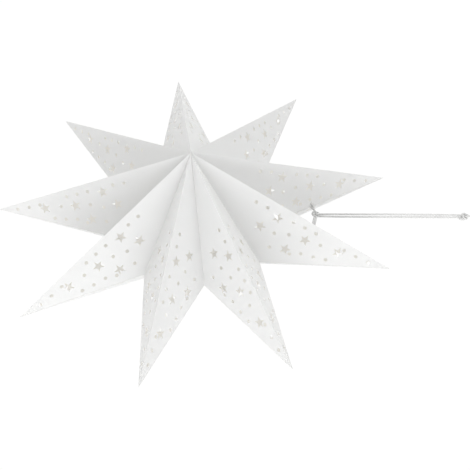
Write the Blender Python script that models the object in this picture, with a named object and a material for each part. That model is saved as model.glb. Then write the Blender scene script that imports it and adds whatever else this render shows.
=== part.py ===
"""A nine-pointed paper star lantern that hangs closed from a doubled cord.

Every point of the star is a sheet of stiff paper creased into four facets: two in front that
meet on a ridge, and two behind them, which carry on round the rim. Neighbouring points meet in
a valley. The first and the last point are not glued: a cord is tied through a hole in the rim of
each, which holds the star closed and hangs it up. Untied, the star folds flat like a fan.

World frame: +Z is up, the star's front faces -Y, and the origin is the top of the cord.
"""

import math

import bpy
from mathutils import Matrix, Vector

# The star, in metres
POINTS = 9
TIP_RADIUS = 0.300
NOTCH_RADIUS = 0.130
FRONT_HEIGHT = 0.137
BACK_HEIGHT = 0.115
PAPER = 0.0004

# The tie pulls the first and the last tip towards each other, by this angle each
SEAM_PULL = math.radians(3.0)

# Paper taken off beside each crease, so that folded facets stay clear of each other
RIDGE_GAP = 0.0006
VALLEY_GAP = 0.0004
RIM_GAP = 0.0005
APEX_TRIM = 0.0006

# The punched pattern of a facet: distance along the ridge from the apex, distance from the
# ridge, and for a star the direction of one arm
STAR_HOLES = (
    (0.138, 0.042, math.radians(200)),
    (0.153, 0.0185, math.radians(197)),
    (0.187, 0.054, math.radians(193)),
    (0.204, 0.027, math.radians(200)),
    (0.254, 0.0185, math.radians(196)),
)
STAR_ARMS = 5
STAR_RADIUS = 0.0090
STAR_WAIST = 0.0037
# The largest gaps between the stars have a round hole each
DOT_HOLES = (
    (0.133, 0.013),
    (0.166, 0.063),
    (0.228, 0.043),
    (0.279, 0.010),
)
DOT_RADIUS = 0.00275
DOT_SIDES = 6
# The back facets are shorter and narrower, and so is the pattern on them
BACK_PATTERN_SHIFT = -0.0085
BACK_PATTERN_WIDTH = 0.88

# The cord
CORD_DIAMETER = 0.0029
KNOT_TO_KNOT = 0.2225
CORD_PITCH = 0.0085
PAIR_ANGLE = math.radians(-38.5)
MESH_GAP = 0.0003
# How far beside the lower knot's centre the two strands meet it
CORD_ASIDE = 0.0019
# Heights above the lower knot, and half the distance between the two strands there
STRAND_ROUTE = (
    (0.0067, 0.00165),
    (0.0300, 0.00190),
    (0.1100, 0.00200),
    (0.1900, 0.00185),
    (0.2158, 0.00165),
)

# The knots, each a closed trefoil of cord
KNOT_SCALE = 0.00165
KNOT_STEPS = 44
TOP_KNOT = Vector((0.0, 0.0, -0.0105))
TIE_KNOT = TOP_KNOT + Vector((0.0042, 0.0004, -KNOT_TO_KNOT))
# The cord's loose end beside the top knot: across from the knot's centre, and up from it
TAIL_ROUTE = ((0.0070, -0.0032), (0.0060, -0.0064), (0.0050, -0.0096))

# The star's centre, which hangs below the knot and a little to its right and behind it
STAR_CENTRE = TIE_KNOT + Vector((0.0048, 0.0066, -0.181))

# The holes that the cord is tied through, and the loops in them
TIE_DISTANCE = 0.053
LOOP_RADIUS = 0.0040
LOOP_STEPS = 20
TIE_HOLE_RADIUS = 0.0019
TIE_HOLE_SIDES = 8

EMPTY_SIZE = 0.02
PAPER_COLOUR = "#F3F2EF"
PAPER_ROUGHNESS = 0.9
CORD_COLOUR = "#E9E9E7"
CORD_ROUGHNESS = 0.8
# How finely a tube is rounded, and the small closed ones
TUBE_ROUNDNESS = 2
LOOP_ROUNDNESS = 1


def clear_scene():
    for item in list(bpy.data.objects):
        bpy.data.objects.remove(item, do_unlink=True)


def linear_colour(code):
    """A hex colour code as linear red, green, blue and alpha."""
    channels = [int(code[i : i + 2], 16) / 255 for i in (1, 3, 5)]
    return [c / 12.92 if c <= 0.04045 else ((c + 0.055) / 1.055) ** 2.4 for c in channels] + [1.0]


def new_material(name, code, roughness):
    material = bpy.data.materials.new(name)
    material.use_nodes = True
    shader = material.node_tree.nodes["Principled BSDF"]
    shader.inputs["Base Color"].default_value = linear_colour(code)
    shader.inputs["Roughness"].default_value = roughness
    shader.inputs["Metallic"].default_value = 0.0
    return material


def attach(item, parent, place):
    """Put an object at a world matrix and keep it there under its parent."""
    if parent is not None:
        item.parent = parent
        item.matrix_parent_inverse = parent.matrix_world.inverted()
    item.matrix_basis = place
    bpy.context.view_layer.update()


def new_empty(name, place, collection, parent):
    empty = bpy.data.objects.new(name, None)
    empty.empty_display_size = EMPTY_SIZE
    collection.objects.link(empty)
    attach(empty, parent, place)
    return empty


# Geometry of the star


def tip_angle(point):
    """The direction of a point's tip, turned clockwise from straight up as the front is seen."""
    angle = (point + 0.5) * math.tau / POINTS
    if point == 0:
        angle -= SEAM_PULL
    if point == POINTS - 1:
        angle += SEAM_PULL
    return angle


def in_star_plane(radius, angle):
    return STAR_CENTRE + Vector((radius * math.sin(angle), 0.0, radius * math.cos(angle)))


def apex(front):
    return STAR_CENTRE + Vector((0.0, -FRONT_HEIGHT if front else BACK_HEIGHT, 0.0))


def tip(point):
    return in_star_plane(TIP_RADIUS, tip_angle(point))


def notch(point, left):
    """The notch on one side of a point, as that point is seen from the front, turned up."""
    return in_star_plane(NOTCH_RADIUS, (point if left else point + 1) * math.tau / POINTS)


def place_along(start, along, outward):
    """A place with its x axis along a line and its z axis out of the paper."""
    first = along.normalized()
    third = outward.normalized()
    place = Matrix((first, third.cross(first), third)).transposed().to_4x4()
    place.translation = start
    return place


def facet_place(point, left, front):
    """A facet's place: its apex, with x along the ridge."""
    top = apex(front)
    along = tip(point) - top
    outward = along.cross(notch(point, left) - top)
    if outward.dot(top - STAR_CENTRE) < 0:
        outward = -outward
    return place_along(top, along, outward)


def outward_of(place):
    return place.col[2].to_3d()


def crease_place(one, two, along, lift):
    """A fold line between facets of one apex, on the face of the paper that folds onto itself."""
    both = outward_of(one) + outward_of(two)
    start = one.translation + both * (lift / (1 + outward_of(one).dot(outward_of(two))))
    return place_along(start, along, both)


def rim_point(point, left, distance):
    """A point on the rim, at a distance from the notch."""
    start = notch(point, left)
    return start + (tip(point) - start).normalized() * distance


# Outlines in a facet's plane


def crossing(point, along, other, other_along):
    """Where two straight lines in a plane meet."""
    scale = along.cross(other_along)
    return point + along * ((other - point).cross(other_along) / scale)


def inset_outline(corners, gaps):
    """A polygon with each edge moved inwards by its own gap."""
    count = len(corners)
    area = sum(corners[i].cross(corners[(i + 1) % count]) for i in range(count))
    turn = math.copysign(1.0, area)
    lines = []
    for i in range(count):
        along = (corners[(i + 1) % count] - corners[i]).normalized()
        inward = Vector((-along.y, along.x)) * turn
        lines.append((corners[i] + inward * gaps[i], along))
    return [crossing(*lines[i - 1], *lines[i]) for i in range(count)]


def facet_outline(tip_at, notch_at):
    """The facet's triangle, with its crease edges set back and its apex corner cut off."""
    corners = [Vector((0.0, 0.0)), tip_at, notch_at]
    start, end, side = inset_outline(corners, (RIDGE_GAP, RIM_GAP, VALLEY_GAP))
    first = start + (end - start).normalized() * APEX_TRIM
    last = start + (side - start).normalized() * APEX_TRIM
    return [first, end, side, last]


def round_hole(centre, radius, sides):
    return [
        centre + radius * Vector((math.cos(i * math.tau / sides), math.sin(i * math.tau / sides)))
        for i in range(sides)
    ]


def star_hole(centre, direction):
    outline = []
    for i in range(2 * STAR_ARMS):
        radius = STAR_WAIST if i % 2 else STAR_RADIUS
        angle = direction + i * math.pi / STAR_ARMS
        outline.append(centre + radius * Vector((math.cos(angle), math.sin(angle))))
    return outline


def punched_holes(hand, front):
    """A facet's pattern. Hand is 1 or -1, the side of the ridge that the notch is on."""
    shift = 0.0 if front else BACK_PATTERN_SHIFT
    width = hand if front else hand * BACK_PATTERN_WIDTH
    holes = []
    for along, across, direction in STAR_HOLES:
        holes.append(star_hole(Vector((along + shift, across * width)), direction * hand))
    for along, across in DOT_HOLES:
        centre = Vector((along + shift, across * width))
        holes.append(round_hole(centre, DOT_RADIUS, DOT_SIDES))
    return holes


# Parts


def sheet(name, outlines, collection, material):
    """A flat piece of paper: a filled outline with holes in it, of the paper's thickness."""
    curve = bpy.data.curves.new(name, "CURVE")
    curve.dimensions = "2D"
    curve.fill_mode = "BOTH"
    curve.extrude = PAPER / 2
    for outline in outlines:
        spline = curve.splines.new("POLY")
        spline.points.add(len(outline) - 1)
        for place, corner in zip(spline.points, outline):
            place.co = (corner.x, corner.y, 0.0, 1.0)
        spline.use_cyclic_u = True
    curve.materials.append(material)
    item = bpy.data.objects.new(name, curve)
    collection.objects.link(item)
    return item


def borders_seam(point, left):
    return (point, left) in ((0, True), (POINTS - 1, False))


def facet_name(point, left, front):
    return f"point_{point + 1}_{'front' if front else 'back'}_{'left' if left else 'right'}"


def add_facet(point, left, front, collection, parent):
    """One facet, with the tie's hole where it borders the seam."""
    place = facet_place(point, left, front)
    to_facet = place.inverted()
    tip_at = (to_facet @ tip(point)).to_2d()
    notch_at = (to_facet @ notch(point, left)).to_2d()
    hand = math.copysign(1.0, notch_at.y)
    outlines = [facet_outline(tip_at, notch_at), *punched_holes(hand, front)]
    if borders_seam(point, left):
        on_rim = (to_facet @ rim_point(point, left, TIE_DISTANCE)).to_2d()
        inward = Vector((notch_at.y - tip_at.y, tip_at.x - notch_at.x)).normalized() * -hand
        outlines.append(round_hole(on_rim + inward * LOOP_RADIUS, TIE_HOLE_RADIUS, TIE_HOLE_SIDES))
    name = facet_name(point, left, front)
    material = new_material(f"paper {name}", PAPER_COLOUR, PAPER_ROUGHNESS)
    item = sheet(name, outlines, collection, material)
    attach(item, parent, place)


def crease_between(before, point, left):
    """The name and place of the crease before a front facet: a ridge or a valley."""
    place = facet_place(point, left, True)
    if left:
        along = notch(point, left) - apex(True)
        return f"valley_{point}_{point + 1}", crease_place(before, place, along, PAPER / 2)
    along = tip(point) - apex(True)
    return f"ridge_{point + 1}", crease_place(before, place, along, -PAPER / 2)


def add_star(collection, hanger):
    """The facets. Each front one hangs on the one before it, and each back one on its front."""
    hinge = hanger
    before = None
    for point in range(POINTS):
        for left in (True, False):
            if before is not None:
                name, place = crease_between(before, point, left)
                hinge = new_empty(name, place, collection, hinge)
            add_facet(point, left, True, collection, hinge)
            before = facet_place(point, left, True)
            outward = outward_of(before) + outward_of(facet_place(point, left, False))
            along = tip(point) - notch(point, left)
            side = "left" if left else "right"
            place = place_along(notch(point, left), along, outward)
            rim = new_empty(f"rim_{point + 1}_{side}", place, collection, hinge)
            add_facet(point, left, False, collection, rim)
    return hinge


def smooth_route(route, pitch):
    """Points at an even pitch on a smooth curve through the route's points."""
    places = [Vector(p) for p in route]
    places = [2 * places[0] - places[1], *places, 2 * places[-1] - places[-2]]
    points = []
    for i in range(1, len(places) - 2):
        a, b, c, d = places[i - 1 : i + 3]
        steps = max(round((c - b).length / pitch), 1)
        for step in range(steps):
            t = step / steps
            points.append(
                0.5 * (2 * b + (c - a) * t + (2 * a - 5 * b + 4 * c - d) * t**2)
                + 0.5 * (3 * b - a - 3 * c + d) * t**3
            )
    return [*points, places[-2]]


def tube(name, points, collection, closed=False):
    """A round cord through the points."""
    curve = bpy.data.curves.new(name, "CURVE")
    curve.dimensions = "3D"
    curve.bevel_depth = CORD_DIAMETER / 2
    curve.bevel_resolution = LOOP_ROUNDNESS if closed else TUBE_ROUNDNESS
    curve.use_fill_caps = True
    spline = curve.splines.new("POLY")
    spline.points.add(len(points) - 1)
    for place, point in zip(spline.points, points):
        place.co = (*point, 1.0)
    spline.use_cyclic_u = closed
    spline.use_smooth = True
    curve.materials.append(new_material(f"cord {name}", CORD_COLOUR, CORD_ROUGHNESS))
    item = bpy.data.objects.new(name, curve)
    collection.objects.link(item)
    return item


def add_knot(name, centre, collection, parent):
    """A knot of cord: a trefoil that lies across the line of the cord."""
    points = []
    for i in range(KNOT_STEPS):
        t = i * math.tau / KNOT_STEPS
        radius = KNOT_SCALE * (2 + math.cos(3 * t))
        depth = KNOT_SCALE * math.sin(3 * t)
        points.append(Vector((radius * math.cos(2 * t), depth, radius * math.sin(2 * t))))
    item = tube(name, points, collection, closed=True)
    attach(item, parent, Matrix.Translation(centre))


def knot_reach():
    """From a knot's centre to just outside it."""
    return 3 * KNOT_SCALE + CORD_DIAMETER / 2 + MESH_GAP


def strand_points(side):
    """The route of one of the two strands, up from the lower knot. Side is 1 or -1."""
    sideways = Vector((math.cos(PAIR_ANGLE), -math.sin(PAIR_ANGLE), 0.0))
    route = []
    for height, off in STRAND_ROUTE:
        share = height / KNOT_TO_KNOT
        aside = CORD_ASIDE * (1 - share) + off * side
        route.append(TIE_KNOT.lerp(TOP_KNOT, share) + sideways * aside)
    return smooth_route(route, CORD_PITCH)


def add_cord(collection):
    """The doubled cord between the knots, and the two ends beyond the top knot."""
    for name, side in (("cord_strand_left", -1), ("cord_strand_right", 1)):
        attach(tube(name, strand_points(side), collection), None, Matrix.Identity(4))
    add_knot("top_knot", TOP_KNOT, collection, None)
    top_end = tube("cord_end", [TOP_KNOT + Vector((0.0, 0.0, knot_reach())), Vector()], collection)
    attach(top_end, None, Matrix.Identity(4))
    tail = tube("top_knot_tail", [Vector((x, 0.0, z)) for x, z in TAIL_ROUTE], collection)
    attach(tail, None, Matrix.Translation(TOP_KNOT))


def add_tie(collection, hanger):
    """The strands from the lower knot towards the two rims."""
    left_loop = rim_point(POINTS - 1, False, TIE_DISTANCE)
    right_loop = rim_point(0, True, TIE_DISTANCE)
    loop_reach = LOOP_RADIUS + CORD_DIAMETER / 2 + MESH_GAP
    apart = (CORD_DIAMETER + MESH_GAP) / 2
    ends = (
        ("tie_strand_left", left_loop, -1, 0.0),
        ("tie_strand_right_upper", right_loop, 1, apart),
        ("tie_strand_right_lower", right_loop, 1, -apart),
    )
    for name, loop, side, lift in ends:
        start = TIE_KNOT + Vector((side * knot_reach(), 0.0, lift))
        end = loop + Vector((-side * loop_reach, 0.0, lift))
        item = tube(name, smooth_route((start, end), CORD_PITCH), collection)
        attach(item, hanger, Matrix.Identity(4))


def add_loop(name, point, left, collection, parent):
    """A loop of cord round a rim, through the tie's holes in the two facets beside it."""
    across = Vector((0.0, 1.0, 0.0))
    upward = (tip(point) - notch(point, left)).normalized().cross(across)
    points = []
    for i in range(LOOP_STEPS):
        t = i * math.tau / LOOP_STEPS
        points.append((across * math.cos(t) + upward * math.sin(t)) * LOOP_RADIUS)
    item = tube(name, points, collection, closed=True)
    attach(item, parent, Matrix.Translation(rim_point(point, left, TIE_DISTANCE)))


def main():
    clear_scene()
    parts = bpy.data.collections.new("paper_star_lantern")
    bpy.context.scene.collection.children.link(parts)
    add_cord(parts)
    turning = new_empty("cord_twist", Matrix.Translation(TIE_KNOT), parts, None)
    add_knot("tie_knot", TIE_KNOT, parts, turning)
    hanger = new_empty("star_swing", Matrix.Translation(TIE_KNOT), parts, turning)
    add_tie(parts, hanger)
    last_hinge = add_star(parts, hanger)
    add_loop("tie_loop_right", 0, True, parts, hanger)
    add_loop("tie_loop_left", POINTS - 1, False, parts, last_hinge)


if __name__ == "__main__":
    main()
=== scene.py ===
"""A nine-pointed paper star lantern with punched stars and dots, hung closed from a doubled cord.

The sheets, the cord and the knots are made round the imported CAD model, in its frame: +Z is up, the
star's front faces -Y, and the origin is the top of the cord. Lengths are in metres.
"""

import math

import bmesh
import bpy
from bpy.props import FloatProperty, FloatVectorProperty, IntProperty, PointerProperty
from mathutils import Matrix, Vector


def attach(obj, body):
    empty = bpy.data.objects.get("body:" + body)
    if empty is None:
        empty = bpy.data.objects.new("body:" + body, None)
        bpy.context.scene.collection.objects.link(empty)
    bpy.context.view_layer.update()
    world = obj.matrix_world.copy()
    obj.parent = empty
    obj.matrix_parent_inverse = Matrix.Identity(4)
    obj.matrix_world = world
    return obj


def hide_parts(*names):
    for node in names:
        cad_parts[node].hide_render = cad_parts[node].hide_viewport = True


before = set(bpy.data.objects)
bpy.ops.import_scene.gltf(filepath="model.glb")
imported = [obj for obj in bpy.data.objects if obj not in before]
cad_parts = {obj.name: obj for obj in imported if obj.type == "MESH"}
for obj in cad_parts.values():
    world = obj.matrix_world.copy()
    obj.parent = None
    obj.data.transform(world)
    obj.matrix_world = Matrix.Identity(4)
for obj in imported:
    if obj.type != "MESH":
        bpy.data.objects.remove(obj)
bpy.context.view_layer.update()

bl_info = {
    "name": "Paper star lantern",
    "version": (1, 0, 0),
    "blender": (4, 5, 0),
    "location": "View3D > Sidebar > Paper star",
    "description": "Folded paper star with a punched pattern, on a knotted cord",
    "category": "Object",
}

# Sizes of the star, as the CAD has them
POINTS = 9
TIP_RADIUS = 0.300
NOTCH_RADIUS = 0.130
FRONT_HEIGHT = 0.137
BACK_HEIGHT = 0.115
PAPER = 0.0004
# The tie pulls the first and the last tip this far towards the open seam between them
SEAM_PULL = math.radians(3.0)
STAR_CENTRE = Vector((0.009, 0.007, -0.414))

# The cord's places, as the CAD has them
TOP_KNOT = Vector((0.0, 0.0, -0.0105))
KNOT_TO_KNOT = 0.2225
TIE_KNOT = TOP_KNOT + Vector((0.0042, 0.0004, -KNOT_TO_KNOT))
# The strands lie side by side in this direction, and leave the lower knot this far aside
PAIR_ANGLE = math.radians(-38.5)
CORD_ASIDE = 0.0019
# The strands and the ends run on into the knots here, where the CAD stops them just outside
KNOT_ENTRY = 0.0020
# Height above the lower knot, and distance from the middle of the pair
STRAND_ROUTE = (
    (0.0025, 0.00160),
    (0.0300, 0.00190),
    (0.1100, 0.00200),
    (0.1900, 0.00185),
    (0.2200, 0.00160),
)
# Across and up from the upper knot
TAIL_ROUTE = ((0.0052, -0.0008), (0.0067, -0.0032), (0.0060, -0.0064), (0.0050, -0.0096))
# The line of a knot reaches three of these from its centre
KNOT_SCALE = 0.00165
MESH_GAP = 0.0003
# From the notch to the tie's loop along the rim, and the loop and its hole in the paper
TIE_DISTANCE = 0.053
LOOP_RADIUS = 0.0040
TIE_HOLE_RADIUS = 0.0019

# The laid cord: its yarns, the sides, pitch and steps of its mesh, and, as shares of its radius,
# the depth of the grooves between the yarns and the radius of a cut end
CORD_YARNS = 3
CORD_SIDES = 18
CORD_RING = 0.0006
KNOT_STEPS = 96
LOOP_STEPS = 48
GROOVE = 0.05
BLUNT_END = 0.45

# The punched pattern of a facet: distance along the ridge from the apex, distance from the
# ridge, and for a star the direction of one arm
STAR_HOLES = (
    (0.138, 0.042, math.radians(200)),
    (0.153, 0.0185, math.radians(197)),
    (0.187, 0.054, math.radians(193)),
    (0.204, 0.027, math.radians(200)),
    (0.254, 0.0185, math.radians(196)),
)
STAR_ARMS = 5
STAR_WAIST = 0.41
DOT_HOLES = (
    (0.115, 0.014),
    (0.133, 0.013),
    (0.161, 0.041),
    (0.166, 0.063),
    (0.176, 0.012),
    (0.180, 0.032),
    (0.194, 0.011),
    (0.196, 0.057),
    (0.210, 0.048),
    (0.212, 0.0105),
    (0.227, 0.022),
    (0.228, 0.043),
    (0.245, 0.037),
    (0.260, 0.011),
    (0.279, 0.010),
    (0.299, 0.008),
)
# The back facets are shorter and narrower, and so is the pattern on them
BACK_PATTERN_SHIFT = -0.0085
BACK_PATTERN_WIDTH = 0.88

# The play left between two sheets at a fold, and the chamfers that give the sheets room as the
# star folds: inside along the ridges, outside along the valleys
FOLD_PLAY = 0.00002
RIDGE_CHAMFER = 0.0006
VALLEY_CHAMFER = 0.0004
# Vertices this near to each other are one, and this near to a corner are at it
MERGE_REACH = 0.000001
CORNER_REACH = 0.00001

# The material slots of a sheet
OUTSIDE, INSIDE, CUT = range(3)

# The camera's place, its right and forward directions, which lay it on its side, and its lens
# and sensor in millimetres
CAMERA_PLACE = Vector((0.8942, -1.0654, -0.2962))
CAMERA_RIGHT = Vector((-0.0505, 0.0121, 0.9987))
CAMERA_FORWARD = Vector((-0.6206, 0.7830, -0.0409))
CAMERA_LENS = 70.58
SENSOR = 36.0

# The studio: the disc of the floor, and the square lights
FLOOR_RADIUS = 2.9
FLOOR_SIDES = 96
LIGHT_DISTANCE = 2.2
LIGHT_SIZE = 1.6
# The room brightens between these two directions, given by the Y of a unit vector
ROOM_FRONT = -0.2
ROOM_BACK = 0.5


# What a user would change


def linear_colour(code):
    """A hex sRGB colour code as linear red, green, blue and alpha."""
    channels = [int(code[i : i + 2], 16) / 255 for i in (1, 3, 5)]
    return [c / 12.92 if c <= 0.04045 else ((c + 0.055) / 1.055) ** 2.4 for c in channels] + [1.0]


class StarSizes(bpy.types.PropertyGroup):
    """The punched pattern's and the cord's sizes."""

    star_radius: FloatProperty(
        name="Punched star",
        description="From the middle of a punched star to a tip",
        default=0.0090,
        min=0.004,
        max=0.012,
        unit="LENGTH",
    )
    dot_radius: FloatProperty(
        name="Punched dot",
        description="Radius of a punched dot",
        default=0.00275,
        min=0.001,
        max=0.004,
        unit="LENGTH",
    )
    dot_sides: IntProperty(
        name="Dot sides",
        description="Sides of a punched dot's outline",
        default=16,
        min=6,
        max=48,
    )
    cord_diameter: FloatProperty(
        name="Cord",
        description="Diameter of the cord",
        default=0.0029,
        min=0.0015,
        max=0.004,
        unit="LENGTH",
    )
    cord_lay: FloatProperty(
        name="Lay of the cord",
        description="Length in which a yarn of the cord goes round once",
        default=0.0075,
        min=0.003,
        max=0.03,
        unit="LENGTH",
    )


class StarColours(bpy.types.PropertyGroup):
    """The colours of the paper and the cord."""

    paper: FloatVectorProperty(
        name="Paper",
        description="The outside of the paper",
        subtype="COLOR",
        size=3,
        min=0.0,
        max=1.0,
        default=linear_colour("#F3F5F8")[:3],
    )
    lining: FloatVectorProperty(
        name="Inside",
        description="The uncoated inside of the paper",
        subtype="COLOR",
        size=3,
        min=0.0,
        max=1.0,
        default=linear_colour("#FBF9F3")[:3],
    )
    cord: FloatVectorProperty(
        name="Cord",
        description="The cotton of the cord",
        subtype="COLOR",
        size=3,
        min=0.0,
        max=1.0,
        default=linear_colour("#D9D9D8")[:3],
    )


class StudioSettings(bpy.types.PropertyGroup):
    """The studio's light and floor."""

    surround: FloatProperty(
        name="Room",
        description="Brightness of the pale room in front of the star",
        default=0.5,
        min=0.0,
        max=4.0,
    )
    backdrop: FloatProperty(
        name="Backdrop",
        description="Brightness of the lit white backdrop behind the star",
        default=1.02,
        min=0.0,
        max=4.0,
    )
    key_power: FloatProperty(
        name="Key light",
        description="Power of the soft light to the star's right",
        default=27.0,
        min=0.0,
        max=500.0,
        unit="POWER",
    )
    side_power: FloatProperty(
        name="Side light",
        description="Power of the soft light to the star's left, in front of it",
        default=15.5,
        min=0.0,
        max=500.0,
        unit="POWER",
    )
    top_power: FloatProperty(
        name="Top light",
        description="Power of the soft light above the star, in front of it",
        default=18.0,
        min=0.0,
        max=500.0,
        unit="POWER",
    )
    floor_depth: FloatProperty(
        name="Floor",
        description="Depth of the floor below the top of the cord",
        default=1.66,
        min=0.8,
        max=3.0,
        unit="LENGTH",
    )


# Materials

# A Mix node has sockets of the same name for each kind of data, so its colours go by number
MIX_FACTOR, MIX_FIRST, MIX_SECOND = 0, 6, 7
MIX_RESULT = 2


def per_metre(millimetres):
    """The scale of a pattern whose features are this far apart."""
    return 1000.0 / millimetres


def add_node(tree, kind, settings=None, *, values=None, links=None):
    """A node with its settings, the values of its sockets, and the sockets that feed it."""
    node = tree.nodes.new(kind)
    for name, value in (settings or {}).items():
        setattr(node, name, value)
    for name, value in (values or {}).items():
        node.inputs[name].default_value = value
    for name, source in (links or {}).items():
        tree.links.new(source, node.inputs[name])
    return node


def empty_material(name):
    material = bpy.data.materials.new(name)
    material.use_nodes = True
    material.node_tree.nodes.clear()
    return material, material.node_tree


def surface_with_daylight(tree, card, tint, share, bump):
    """Make the surface of a sheet from its own light and this share of what comes through."""
    through = add_node(
        tree,
        "ShaderNodeBsdfTranslucent",
        values={"Color": linear_colour(tint)},
        links={"Normal": bump.outputs[0]},
    )
    both = add_node(
        tree,
        "ShaderNodeMixShader",
        values={"Fac": share},
        links={1: card.outputs[0], 2: through.outputs[0]},
    )
    add_node(tree, "ShaderNodeOutputMaterial", links={"Surface": both.outputs[0]})


def coated_paper():
    """White card, calendered and coated outside.

    The eye sees an even matt white with a faint cloudiness of the fibres, a thin line of painted
    shade along the rims where the rounded fold turns from the light, and some daylight coming
    through the sheet.
    """
    material, tree = empty_material("coated white card")
    colours = bpy.context.scene.star_colours
    place = add_node(tree, "ShaderNodeTexCoord").outputs["Object"]
    which = add_node(tree, "ShaderNodeObjectInfo").outputs["Random"]
    # The pulp is cloudy in patches about 9 mm across
    cloud = add_node(
        tree,
        "ShaderNodeTexNoise",
        {"noise_dimensions": "4D"},
        values={"Scale": per_metre(9.0), "Detail": 3.0, "Roughness": 0.6},
        links={"Vector": place, "W": which},
    )
    white = [*colours.paper, 1.0]
    shade = [c * 0.97 for c in colours.paper] + [1.0]
    body = add_node(
        tree,
        "ShaderNodeMix",
        {"data_type": "RGBA"},
        values={MIX_FIRST: white, MIX_SECOND: shade},
        links={MIX_FACTOR: cloud.outputs[0]},
    )
    rim = add_node(tree, "ShaderNodeAttribute", {"attribute_name": "to_rim"})
    # Painted shade along the rims: a greyer strip that stands in for the rounded fold turning from
    # the light. The creased strip is 0.5 mm wide, drawn 1.2 mm wide so that it shows
    painted_rim_shade = add_node(
        tree,
        "ShaderNodeMapRange",
        {"interpolation_type": "SMOOTHSTEP"},
        values={"From Min": 0.0, "From Max": 0.0012, "To Min": 1.0, "To Max": 0.0},
        links={"Value": rim.outputs["Fac"]},
    )
    # The card greys towards #DCDDDD in the strip of painted rim shade
    colour = add_node(
        tree,
        "ShaderNodeMix",
        {"data_type": "RGBA"},
        values={MIX_SECOND: linear_colour("#DCDDDD")},
        links={MIX_FACTOR: painted_rim_shade.outputs["Result"], MIX_FIRST: body.outputs[MIX_RESULT]},
    )
    # Fibres of the card are 0.3 mm apart, drawn 0.8 mm apart so that they show
    tooth = add_node(
        tree,
        "ShaderNodeTexNoise",
        {"noise_dimensions": "4D"},
        values={"Scale": per_metre(0.8), "Detail": 2.0},
        links={"Vector": place, "W": which},
    )
    bump = add_node(
        tree,
        "ShaderNodeBump",
        values={"Strength": 0.12, "Distance": 0.0002},
        links={"Height": tooth.outputs[0]},
    )
    gloss = add_node(
        tree,
        "ShaderNodeMapRange",
        values={"To Min": 0.55, "To Max": 0.70},
        links={"Value": tooth.outputs[0]},
    )
    card = add_node(
        tree,
        "ShaderNodeBsdfPrincipled",
        values={"IOR": 1.47, "Sheen Weight": 0.03},
        links={
            "Base Color": colour.outputs[MIX_RESULT],
            "Roughness": gloss.outputs["Result"],
            "Normal": bump.outputs[0],
        },
    )
    surface_with_daylight(tree, card, "#FBFCFE", 0.50, bump)
    return material


def bare_paper(name, colour):
    """Uncoated card, as the inside of the star and the cut edges have it.

    The eye sees a rougher, creamier white, and daylight that comes through the sheet.
    """
    material, tree = empty_material(name)
    place = add_node(tree, "ShaderNodeTexCoord").outputs["Object"]
    which = add_node(tree, "ShaderNodeObjectInfo").outputs["Random"]
    # Fibres of the card are 0.3 mm apart, drawn 1.2 mm apart so that they show
    fibres = add_node(
        tree,
        "ShaderNodeTexNoise",
        {"noise_dimensions": "4D"},
        values={"Scale": per_metre(1.2), "Detail": 4.0},
        links={"Vector": place, "W": which},
    )
    white = [*colour, 1.0]
    shade = [c * 0.95 for c in colour] + [1.0]
    body = add_node(
        tree,
        "ShaderNodeMix",
        {"data_type": "RGBA"},
        values={MIX_FIRST: white, MIX_SECOND: shade},
        links={MIX_FACTOR: fibres.outputs[0]},
    )
    bump = add_node(
        tree,
        "ShaderNodeBump",
        values={"Strength": 0.2, "Distance": 0.0002},
        links={"Height": fibres.outputs[0]},
    )
    card = add_node(
        tree,
        "ShaderNodeBsdfPrincipled",
        values={"Roughness": 0.85, "IOR": 1.47},
        links={"Base Color": body.outputs[MIX_RESULT], "Normal": bump.outputs[0]},
    )
    surface_with_daylight(tree, card, "#FCFAF6", 0.62, bump)
    return material


def twisted_cotton():
    """White cotton cord, three yarns laid together.

    The eye sees soft white with slanting grooves, and a fuzz that pales the edges.
    """
    material, tree = empty_material("twisted cotton cord")
    place = add_node(tree, "ShaderNodeTexCoord").outputs["Object"]
    # Cotton fibres are 0.02 mm thick, drawn in tufts of 0.4 mm so that they show
    tufts = add_node(
        tree,
        "ShaderNodeTexNoise",
        values={"Scale": per_metre(0.4), "Detail": 3.0},
        links={"Vector": place},
    )
    colour = bpy.context.scene.star_colours.cord
    shade = [c * 0.97 for c in colour] + [1.0]
    body = add_node(
        tree,
        "ShaderNodeMix",
        {"data_type": "RGBA"},
        values={MIX_FIRST: [*colour, 1.0], MIX_SECOND: shade},
        links={MIX_FACTOR: tufts.outputs[0]},
    )
    bump = add_node(
        tree,
        "ShaderNodeBump",
        values={"Strength": 0.08, "Distance": 0.0001},
        links={"Height": tufts.outputs[0]},
    )
    cotton = add_node(
        tree,
        "ShaderNodeBsdfPrincipled",
        values={"Roughness": 0.9, "Sheen Weight": 0.3, "Sheen Roughness": 0.5},
        links={"Base Color": body.outputs[MIX_RESULT], "Normal": bump.outputs[0]},
    )
    add_node(tree, "ShaderNodeOutputMaterial", links={"Surface": cotton.outputs[0]})
    return material


def painted_floor():
    """Matt white studio paint, which the eye sees as plain and pale."""
    material, tree = empty_material("matt white studio floor")
    # A roller leaves faint patches about 60 mm across
    grain = add_node(tree, "ShaderNodeTexNoise", values={"Scale": per_metre(60.0), "Detail": 4.0})
    body = add_node(
        tree,
        "ShaderNodeMix",
        {"data_type": "RGBA"},
        values={MIX_FIRST: linear_colour("#F6F6F6"), MIX_SECOND: linear_colour("#F4F4F4")},
        links={MIX_FACTOR: grain.outputs[0]},
    )
    paint = add_node(
        tree,
        "ShaderNodeBsdfPrincipled",
        values={"Roughness": 0.9},
        links={"Base Color": body.outputs[MIX_RESULT]},
    )
    add_node(tree, "ShaderNodeOutputMaterial", links={"Surface": paint.outputs[0]})
    return material


# Geometry of the star


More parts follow.
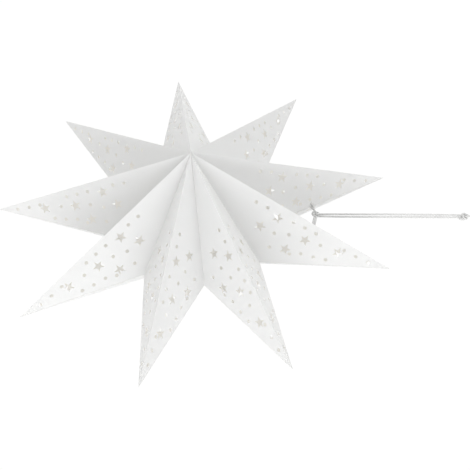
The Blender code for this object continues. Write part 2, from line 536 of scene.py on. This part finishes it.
def tip_angle(point):
    """The direction of a point's tip, turned clockwise from straight up as the front is seen."""
    angle = (point + 0.5) * math.tau / POINTS
    if point == 0:
        angle -= SEAM_PULL
    if point == POINTS - 1:
        angle += SEAM_PULL
    return angle


def in_star_plane(radius, angle):
    return STAR_CENTRE + Vector((radius * math.sin(angle), 0.0, radius * math.cos(angle)))


def apex(front):
    return STAR_CENTRE + Vector((0.0, -FRONT_HEIGHT if front else BACK_HEIGHT, 0.0))


def tip(point):
    return in_star_plane(TIP_RADIUS, tip_angle(point))


def notch(point, left):
    """The notch on one side of a point, as that point is seen from the front, turned up."""
    return in_star_plane(NOTCH_RADIUS, (point if left else point + 1) * math.tau / POINTS)


def place_along(start, along, outward):
    """A place with its x axis along a line and its z axis out of the paper."""
    first = along.normalized()
    third = outward.normalized()
    place = Matrix((first, third.cross(first), third)).transposed().to_4x4()
    place.translation = start
    return place


def facet_place(point, left, front):
    """A facet's place: its apex, with x along the ridge."""
    top = apex(front)
    along = tip(point) - top
    outward = along.cross(notch(point, left) - top)
    if outward.dot(top - STAR_CENTRE) < 0:
        outward = -outward
    return place_along(top, along, outward)


def rim_point(point, left, distance):
    """A point on the rim, at a distance from the notch."""
    start = notch(point, left)
    return start + (tip(point) - start).normalized() * distance


def facet_name(point, left, front):
    return f"point_{point + 1}_{'front' if front else 'back'}_{'left' if left else 'right'}"


def borders_seam(point, left):
    return (point, left) in ((0, True), (POINTS - 1, False))


# The sheets


def crossing(point, along, other, other_along):
    """Where two straight lines in a plane meet."""
    distance = (other - point).cross(other_along) / along.cross(other_along)
    return point + along * distance


def inset_outline(corners, gaps):
    """A polygon with each edge moved inwards by its own gap."""
    count = len(corners)
    area = sum(corners[i].cross(corners[(i + 1) % count]) for i in range(count))
    turn = math.copysign(1.0, area)
    lines = []
    for i in range(count):
        along = (corners[(i + 1) % count] - corners[i]).normalized()
        inward = Vector((-along.y, along.x)) * turn
        lines.append((corners[i] + inward * gaps[i], along))
    return [crossing(*lines[i - 1], *lines[i]) for i in range(count)]


def mitre(one, two):
    """How far half the paper's thickness reaches past the fold line between two sheets."""
    bend = one.col[2].to_3d().angle(two.col[2].to_3d())
    return PAPER / 2 * math.tan(bend / 2)


def fold_reaches(point, left, front):
    """How far past the fold lines a facet reaches, outside and inside, at ridge, rim and valley.

    Where a reach would get in the way as the star folds, the edge is cut at the line or chamfered.
    """
    place = facet_place(point, left, front)
    ridge = mitre(place, facet_place(point, not left, front))
    rim = mitre(place, facet_place(point, left, not front))
    if borders_seam(point, left):
        return (ridge, 0.0, 0.0), (-RIDGE_CHAMFER, -rim, 0.0)
    beside = point - 1 if left else point + 1
    valley = mitre(place, facet_place(beside, not left, front))
    return (ridge, 0.0, -VALLEY_CHAMFER), (-RIDGE_CHAMFER, -rim, valley)


def round_outline(centre, radius, sides):
    return [
        centre + radius * Vector((math.cos(i * math.tau / sides), math.sin(i * math.tau / sides)))
        for i in range(sides)
    ]


def star_outline(centre, direction, radius):
    outline = []
    for i in range(2 * STAR_ARMS):
        reach = radius * (STAR_WAIST if i % 2 else 1.0)
        angle = direction + i * math.pi / STAR_ARMS
        outline.append(centre + reach * Vector((math.cos(angle), math.sin(angle))))
    return outline


def punched_outlines(hand, front):
    """A facet's pattern. Hand is 1 or -1, the side of the ridge that the notch is on."""
    sizes = bpy.context.scene.star_sizes
    shift = 0.0 if front else BACK_PATTERN_SHIFT
    width = hand if front else hand * BACK_PATTERN_WIDTH
    outlines = []
    for along, across, direction in STAR_HOLES:
        centre = Vector((along + shift, across * width))
        outlines.append(star_outline(centre, direction * hand, sizes.star_radius))
    for along, across in DOT_HOLES:
        centre = Vector((along + shift, across * width))
        outlines.append(round_outline(centre, sizes.dot_radius, sizes.dot_sides))
    return outlines


def filled_sheet(name, outlines):
    """A mesh of a flat sheet with holes, of the paper's thickness."""
    curve = bpy.data.curves.new(name, "CURVE")
    curve.dimensions = "2D"
    curve.fill_mode = "BOTH"
    curve.extrude = PAPER / 2
    for outline in outlines:
        spline = curve.splines.new("POLY")
        spline.points.add(len(outline) - 1)
        for place, corner in zip(spline.points, outline):
            place.co = (corner.x, corner.y, 0.0, 1.0)
        spline.use_cyclic_u = True
    item = bpy.data.objects.new(name, curve)
    bpy.context.scene.collection.objects.link(item)
    shown = item.evaluated_get(bpy.context.evaluated_depsgraph_get())
    mesh = bpy.data.meshes.new_from_object(shown)
    bpy.data.objects.remove(item, do_unlink=True)
    bpy.data.curves.remove(curve)
    mesh.name = name
    return mesh


def edge_distance(point, start, end):
    along = (end - start).normalized()
    return abs((point - start).cross(along))


def fit_sheet(mesh, middle, outer, inner, rim):
    """Shape a sheet's edges, sort its faces into outside, inside and cut, and note its rim.

    Middle is the outline that the sheet was filled with, and outer and inner have the same corners
    as the outside and the inside of the sheet are to have them.
    """
    work = bmesh.new()
    work.from_mesh(mesh)
    bmesh.ops.remove_doubles(work, verts=work.verts, dist=MERGE_REACH)
    for vertex in work.verts:
        flat = vertex.co.to_2d()
        for corner, out_corner, in_corner in zip(middle, outer, inner):
            if (flat - corner).length < CORNER_REACH:
                vertex.co.xy = out_corner if vertex.co.z > 0 else in_corner
    bmesh.ops.recalc_face_normals(work, faces=work.faces)
    layer = work.verts.layers.float.new("to_rim")
    for vertex in work.verts:
        vertex[layer] = edge_distance(vertex.co.to_2d(), *rim)
    for face in work.faces:
        face.smooth = False
        upward = face.normal.z
        face.material_index = CUT if abs(upward) < 0.5 else OUTSIDE if upward > 0 else INSIDE
    work.to_mesh(mesh)
    work.free()


def add_sheet(point, left, front, materials):
    """One facet of the star, cut to the fold lines, riding on its CAD body."""
    place = facet_place(point, left, front)
    to_facet = place.inverted()
    tip_at = (to_facet @ tip(point)).to_2d()
    notch_at = (to_facet @ notch(point, left)).to_2d()
    hand = math.copysign(1.0, notch_at.y)
    corners = [Vector((0.0, 0.0)), tip_at, notch_at]
    middle = inset_outline(corners, [FOLD_PLAY] * 3)
    outer, inner = (
        inset_outline(corners, [FOLD_PLAY - reach for reach in reaches])
        for reaches in fold_reaches(point, left, front)
    )
    outlines = [middle, *punched_outlines(hand, front)]
    if borders_seam(point, left):
        on_rim = (to_facet @ rim_point(point, left, TIE_DISTANCE)).to_2d()
        inward = Vector((notch_at.y - tip_at.y, tip_at.x - notch_at.x)).normalized() * -hand
        sides = bpy.context.scene.star_sizes.dot_sides
        outlines.append(round_outline(on_rim + inward * LOOP_RADIUS, TIE_HOLE_RADIUS, sides))
    node = facet_name(point, left, front)
    mesh = filled_sheet(f"sheet_{node}", outlines)
    fit_sheet(mesh, middle, outer, inner, (tip_at, notch_at))
    for material in materials:
        mesh.materials.append(material)
    item = bpy.data.objects.new(f"sheet_{node}", mesh)
    bpy.context.scene.collection.objects.link(item)
    item.matrix_world = place
    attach(item, node)
    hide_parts(node)


# The cord


def smooth_route(route, pitch):
    """Points at an even pitch on a smooth curve through the route's points."""
    places = [Vector(p) for p in route]
    places = [2 * places[0] - places[1], *places, 2 * places[-1] - places[-2]]
    points = []
    for i in range(1, len(places) - 2):
        a, b, c, d = places[i - 1 : i + 3]
        steps = max(round((c - b).length / pitch), 1)
        for step in range(steps):
            t = step / steps
            points.append(
                0.5 * (2 * b + (c - a) * t + (2 * a - 5 * b + 4 * c - d) * t**2)
                + 0.5 * (3 * b - a - 3 * c + d) * t**3
            )
    return [*points, places[-2]]


def cord_directions(points, closed):
    """The direction of a line at each of its points."""
    count = len(points)
    directions = []
    for i in range(count):
        before = points[i - 1] if closed or i > 0 else points[i]
        after = points[(i + 1) % count] if closed or i < count - 1 else points[i]
        directions.append((after - before).normalized())
    return directions


def carried_sides(directions):
    """A direction across a line at each point, carried along it without twisting."""
    side = directions[0].orthogonal().normalized()
    sides = [side]
    for before, after in zip(directions, directions[1:]):
        side = (before.rotation_difference(after) @ side).normalized()
        sides.append(side)
    return sides


def end_rounding(distance, radius):
    """The share of its radius that a cord has at this distance from its end."""
    if distance >= radius:
        return 1.0
    return max(math.sqrt(1 - (1 - distance / radius) ** 2), BLUNT_END)


def route_length(points):
    return sum((b - a).length for a, b in zip(points, points[1:]))


def closing_slip(directions, sides):
    """How far the carried side has turned where a closed line comes back to its start."""
    last = (directions[-1].rotation_difference(directions[0]) @ sides[-1]).normalized()
    return math.atan2(directions[0].dot(last.cross(sides[0])), last.dot(sides[0]))


def laid_cord(name, points, closed):
    """A mesh of a cord of yarns laid round each other, through the points."""
    sizes = bpy.context.scene.star_sizes
    half = sizes.cord_diameter / 2
    directions = cord_directions(points, closed)
    sides = carried_sides(directions)
    turn = math.tau * route_length(points) / sizes.cord_lay
    slip = closing_slip(directions, sides) if closed else 0.0
    if closed:
        # The yarns go on into each other where the cord closes
        yarn = math.tau / CORD_YARNS
        turn = round((turn - slip) / yarn) * yarn + slip
    mesh = bpy.data.meshes.new(name)
    work = bmesh.new()
    rings = []
    count = len(points)
    for i, (point, along, side) in enumerate(zip(points, directions, sides)):
        across = along.cross(side)
        phase = turn * i / (count if closed else count - 1)
        to_end = min((point - points[0]).length, (point - points[-1]).length)
        rounding = 1.0 if closed else end_rounding(to_end, half)
        ring = []
        for j in range(CORD_SIDES):
            angle = j * math.tau / CORD_SIDES + phase
            # 1 on the crown of a yarn and 0 in a groove
            crown = abs(math.cos(CORD_YARNS / 2 * (angle - phase)))
            radius = half * rounding * (1 - GROOVE + GROOVE * crown)
            outward = side * math.cos(angle) + across * math.sin(angle)
            ring.append(work.verts.new(point + outward * radius))
        rings.append(ring)
    if closed:
        shift = round((turn - slip) / (math.tau / CORD_SIDES)) % CORD_SIDES
        rings.append([rings[0][(j + shift) % CORD_SIDES] for j in range(CORD_SIDES)])
    else:
        work.faces.new(reversed(rings[0]))
        work.faces.new(rings[-1])
    for one, two in zip(rings, rings[1:]):
        for j in range(CORD_SIDES):
            k = (j + 1) % CORD_SIDES
            work.faces.new((one[j], one[k], two[k], two[j]))
    for face in work.faces:
        face.smooth = len(face.verts) == 4
    bmesh.ops.recalc_face_normals(work, faces=work.faces)
    work.to_mesh(mesh)
    work.free()
    return mesh


def cord_material():
    return bpy.data.materials.get("twisted cotton cord") or twisted_cotton()


def add_cord(node, points, body, closed=False):
    """A piece of the cord that rides on a body in place of the CAD's node."""
    mesh = laid_cord(f"cotton_{node}", points, closed)
    mesh.materials.append(cord_material())
    item = bpy.data.objects.new(f"cotton_{node}", mesh)
    bpy.context.scene.collection.objects.link(item)
    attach(item, body)
    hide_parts(node)
    return item


def knot_reach():
    """From a knot's centre to just outside it."""
    return 3 * KNOT_SCALE + bpy.context.scene.star_sizes.cord_diameter / 2 + MESH_GAP


def add_knot(node, centre, body):
    """A knot of the cord: a trefoil that faces the same way as the star."""
    points = []
    for i in range(KNOT_STEPS):
        t = i * math.tau / KNOT_STEPS
        radius = KNOT_SCALE * (2 + math.cos(3 * t))
        depth = KNOT_SCALE * math.sin(3 * t)
        points.append(centre + Vector((radius * math.cos(2 * t), depth, radius * math.sin(2 * t))))
    return add_cord(node, points, body, closed=True)


def straight(start, end):
    return smooth_route((start, end), CORD_RING)


def strand_route(side):
    """The route of one of the two strands, up from the lower knot. Side is 1 or -1."""
    sideways = Vector((math.cos(PAIR_ANGLE), -math.sin(PAIR_ANGLE), 0.0))
    route = []
    for height, off in STRAND_ROUTE:
        share = height / KNOT_TO_KNOT
        aside = CORD_ASIDE * (1 - share) + off * side
        route.append(TIE_KNOT.lerp(TOP_KNOT, share) + sideways * aside)
    return smooth_route(route, CORD_RING)


# Operators


class STAR_OT_camera(bpy.types.Operator):
    """Put the camera where the lantern is seen from, turned on its side"""

    bl_idname = "star.camera"
    bl_label = "Camera"

    def execute(self, context):
        camera = bpy.data.objects.new("camera", bpy.data.cameras.new("camera"))
        context.scene.collection.objects.link(camera)
        camera.data.sensor_width = SENSOR
        camera.data.lens = CAMERA_LENS
        forward = CAMERA_FORWARD.normalized()
        right = (CAMERA_RIGHT - forward * CAMERA_RIGHT.dot(forward)).normalized()
        turn = Matrix((right, right.cross(forward), -forward)).transposed().to_4x4()
        camera.matrix_world = Matrix.Translation(CAMERA_PLACE) @ turn
        context.scene.camera = camera
        return {"FINISHED"}


class STAR_OT_cord(bpy.types.Operator):
    """Lay the two strands of the hanging cord, with the knot and the ends at the top"""

    bl_idname = "star.cord"
    bl_label = "Hanging cord"

    def execute(self, context):
        knot = add_knot("top_knot", TOP_KNOT, "cord")
        start = TOP_KNOT + Vector((0.0, 0.0, knot_reach() - KNOT_ENTRY))
        end = add_cord("cord_end", straight(start, Vector()), "cord")
        points = smooth_route([TOP_KNOT + Vector((x, 0.0, z)) for x, z in TAIL_ROUTE], CORD_RING)
        tail = add_cord("top_knot_tail", points, "cord")
        for node, side in (("cord_strand_left", -1), ("cord_strand_right", 1)):
            points = strand_route(side)
            strand = add_cord(node, points, "cord")
        return {"FINISHED"}


class STAR_OT_tie(bpy.types.Operator):
    """Tie the knot beside the star, the strands from it and the loops round the two rims"""

    bl_idname = "star.tie"
    bl_label = "Tie"

    def execute(self, context):
        sizes = context.scene.star_sizes
        add_knot("tie_knot", TIE_KNOT, "tie")
        left_loop = rim_point(POINTS - 1, False, TIE_DISTANCE)
        right_loop = rim_point(0, True, TIE_DISTANCE)
        loop_reach = LOOP_RADIUS + sizes.cord_diameter / 2 + MESH_GAP
        # The two strands to the right loop lie one above the other
        apart = (sizes.cord_diameter + MESH_GAP) / 2
        strands = (
            ("tie_strand_left", left_loop, -1, 0.0),
            ("tie_strand_right_upper", right_loop, 1, apart),
            ("tie_strand_right_lower", right_loop, 1, -apart),
        )
        for node, loop, side, lift in strands:
            start = TIE_KNOT + Vector((side * (knot_reach() - KNOT_ENTRY), 0.0, lift))
            end = loop + Vector((-side * (loop_reach - KNOT_ENTRY), 0.0, lift))
            add_cord(node, straight(start, end), facet_name(0, True, True))
        loops = (("tie_loop_right", 0, True), ("tie_loop_left", POINTS - 1, False))
        for node, point, left in loops:
            centre = rim_point(point, left, TIE_DISTANCE)
            across = Vector((0.0, 1.0, 0.0))
            upward = (tip(point) - notch(point, left)).normalized().cross(across)
            points = []
            for i in range(LOOP_STEPS):
                t = i * math.tau / LOOP_STEPS
                points.append(centre + (across * math.cos(t) + upward * math.sin(t)) * LOOP_RADIUS)
            add_cord(node, points, facet_name(point, left, True), closed=True)
        return {"FINISHED"}


class STAR_OT_sheets(bpy.types.Operator):
    """Cut and punch the 36 facets of the star"""

    bl_idname = "star.sheets"
    bl_label = "Paper facets"

    def execute(self, context):
        colours = context.scene.star_colours
        # In the order of the slots OUTSIDE, INSIDE and CUT
        materials = (
            coated_paper(),
            bare_paper("uncoated card inside", colours.lining),
            bare_paper("cut edge of the card", colours.paper),
        )
        for point in range(POINTS):
            for left in (True, False):
                for front in (True, False):
                    add_sheet(point, left, front, materials)
        return {"FINISHED"}


class STAR_OT_stage(bpy.types.Operator):
    """Set the floor, the white surround and the soft lights"""

    bl_idname = "star.stage"
    bl_label = "Studio"

    def execute(self, context):
        studio = context.scene.star_studio
        bpy.ops.mesh.primitive_circle_add(
            vertices=FLOOR_SIDES,
            radius=FLOOR_RADIUS,
            fill_type="NGON",
            location=(0.0, 0.0, -studio.floor_depth),
        )
        floor = context.active_object
        floor.name = "studio_floor"
        floor.data.materials.append(painted_floor())
        context.scene.world = pale_room(studio.surround, studio.backdrop)
        add_soft_light("key light", (1.0, 0.0, 0.0), studio.key_power)
        add_soft_light("side light", (-1.0, -1.0, 0.0), studio.side_power)
        add_soft_light("top light", (0.0, -1.0, 1.0), studio.top_power)
        context.scene.view_settings.view_transform = "Standard"
        return {"FINISHED"}


def pale_room(front, behind):
    """A pale room, which gets brighter towards the lit backdrop behind the star."""
    world = bpy.data.worlds.new("pale room")
    world.use_nodes = True
    tree = world.node_tree
    direction = add_node(tree, "ShaderNodeTexCoord").outputs["Generated"]
    part = add_node(tree, "ShaderNodeSeparateXYZ", links={"Vector": direction})
    brightness = add_node(
        tree,
        "ShaderNodeMapRange",
        {"interpolation_type": "SMOOTHSTEP"},
        values={"From Min": ROOM_FRONT, "From Max": ROOM_BACK, "To Min": front, "To Max": behind},
        links={"Value": part.outputs["Y"]},
    )
    background = tree.nodes["Background"]
    background.inputs["Color"].default_value = (1.0, 1.0, 1.0, 1.0)
    tree.links.new(brightness.outputs["Result"], background.inputs["Strength"])
    return world


def add_soft_light(name, direction, power):
    """A square soft light in this direction from the star, which faces it."""
    lamp = bpy.data.lights.new(name, "AREA")
    lamp.shape = "SQUARE"
    lamp.size = LIGHT_SIZE
    lamp.energy = power
    item = bpy.data.objects.new(name, lamp)
    bpy.context.scene.collection.objects.link(item)
    towards = Vector(direction).normalized()
    item.location = STAR_CENTRE + towards * LIGHT_DISTANCE
    item.rotation_mode = "QUATERNION"
    item.rotation_quaternion = (-towards).to_track_quat("-Z", "Y")


class STAR_PT_panel(bpy.types.Panel):
    """The lantern's pieces and their settings"""

    bl_label = "Paper star"
    bl_idname = "STAR_PT_panel"
    bl_space_type = "VIEW_3D"
    bl_region_type = "UI"
    bl_category = "Paper star"

    def draw(self, context):
        scene = context.scene
        for group in (scene.star_sizes, scene.star_colours, scene.star_studio):
            box = self.layout.box()
            for name in group.__annotations__:
                box.prop(group, name)
        for operator in OPERATORS:
            self.layout.operator(operator.bl_idname)


OPERATORS = (STAR_OT_camera, STAR_OT_cord, STAR_OT_tie, STAR_OT_sheets, STAR_OT_stage)
GROUPS = {
    "star_sizes": StarSizes,
    "star_colours": StarColours,
    "star_studio": StudioSettings,
}


def register():
    for item in (*GROUPS.values(), *OPERATORS, STAR_PT_panel):
        bpy.utils.register_class(item)
    for name, group in GROUPS.items():
        setattr(bpy.types.Scene, name, PointerProperty(type=group))


def unregister():
    for name in GROUPS:
        delattr(bpy.types.Scene, name)
    for item in (STAR_PT_panel, *reversed(OPERATORS), *reversed(list(GROUPS.values()))):
        bpy.utils.unregister_class(item)


def main():
    register()
    bpy.ops.star.camera()
    bpy.ops.star.cord()
    bpy.ops.star.tie()
    bpy.ops.star.sheets()
    bpy.ops.star.stage()


if __name__ == "__main__":
    main()
